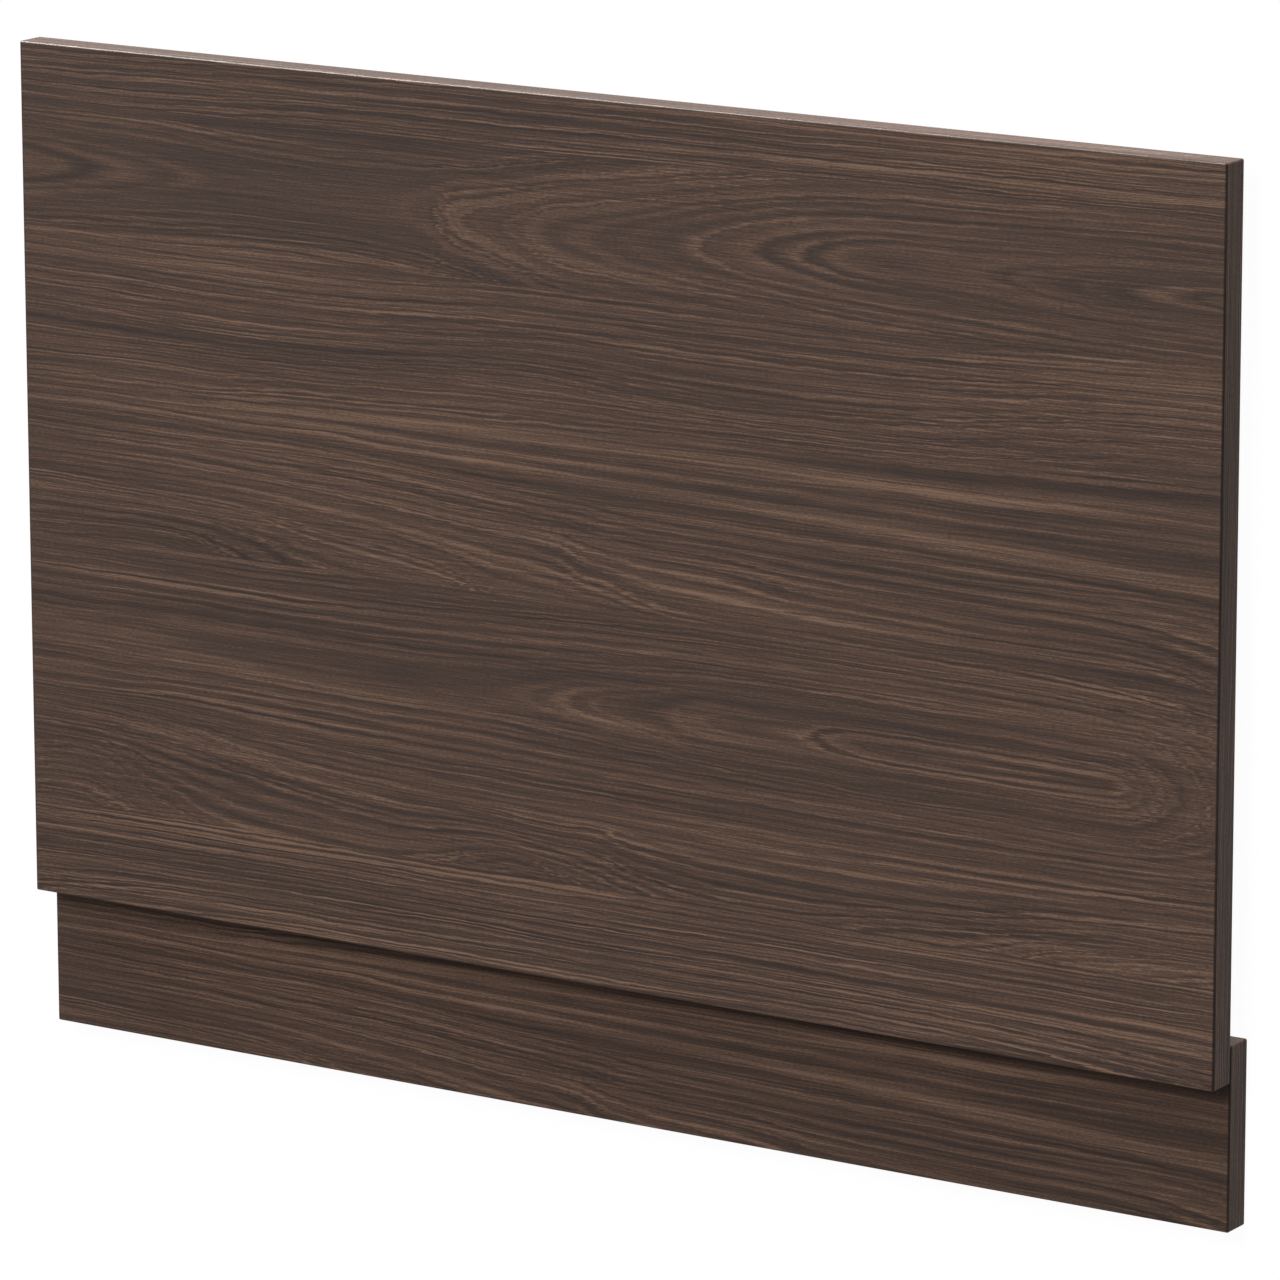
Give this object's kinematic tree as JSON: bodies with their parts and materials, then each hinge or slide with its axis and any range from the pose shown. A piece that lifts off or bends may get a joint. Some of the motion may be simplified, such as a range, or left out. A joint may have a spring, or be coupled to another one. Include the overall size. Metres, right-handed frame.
{
  "type": "bath end panel",
  "caption": "Bath end panel in dark wood-effect board: a flat main panel with a set-back plinth screwed behind its lower edge.",
  "frame": {"origin": "on the floor, under the middle of the whole outline, with the panel lying on its back", "axes": "+X along the panel's width, to the right as seen from the front; +Y up the panel's height, towards the bath rim; +Z out of the decorative face"},
  "size_m": [0.75, 0.56, 0.036],
  "materials": {
    "faced_board": "satin"
  },
  "bodies": {
    "root": {"main_panel": "faced_board", "plinth": "faced_board"}
  },
  "joints": []
}
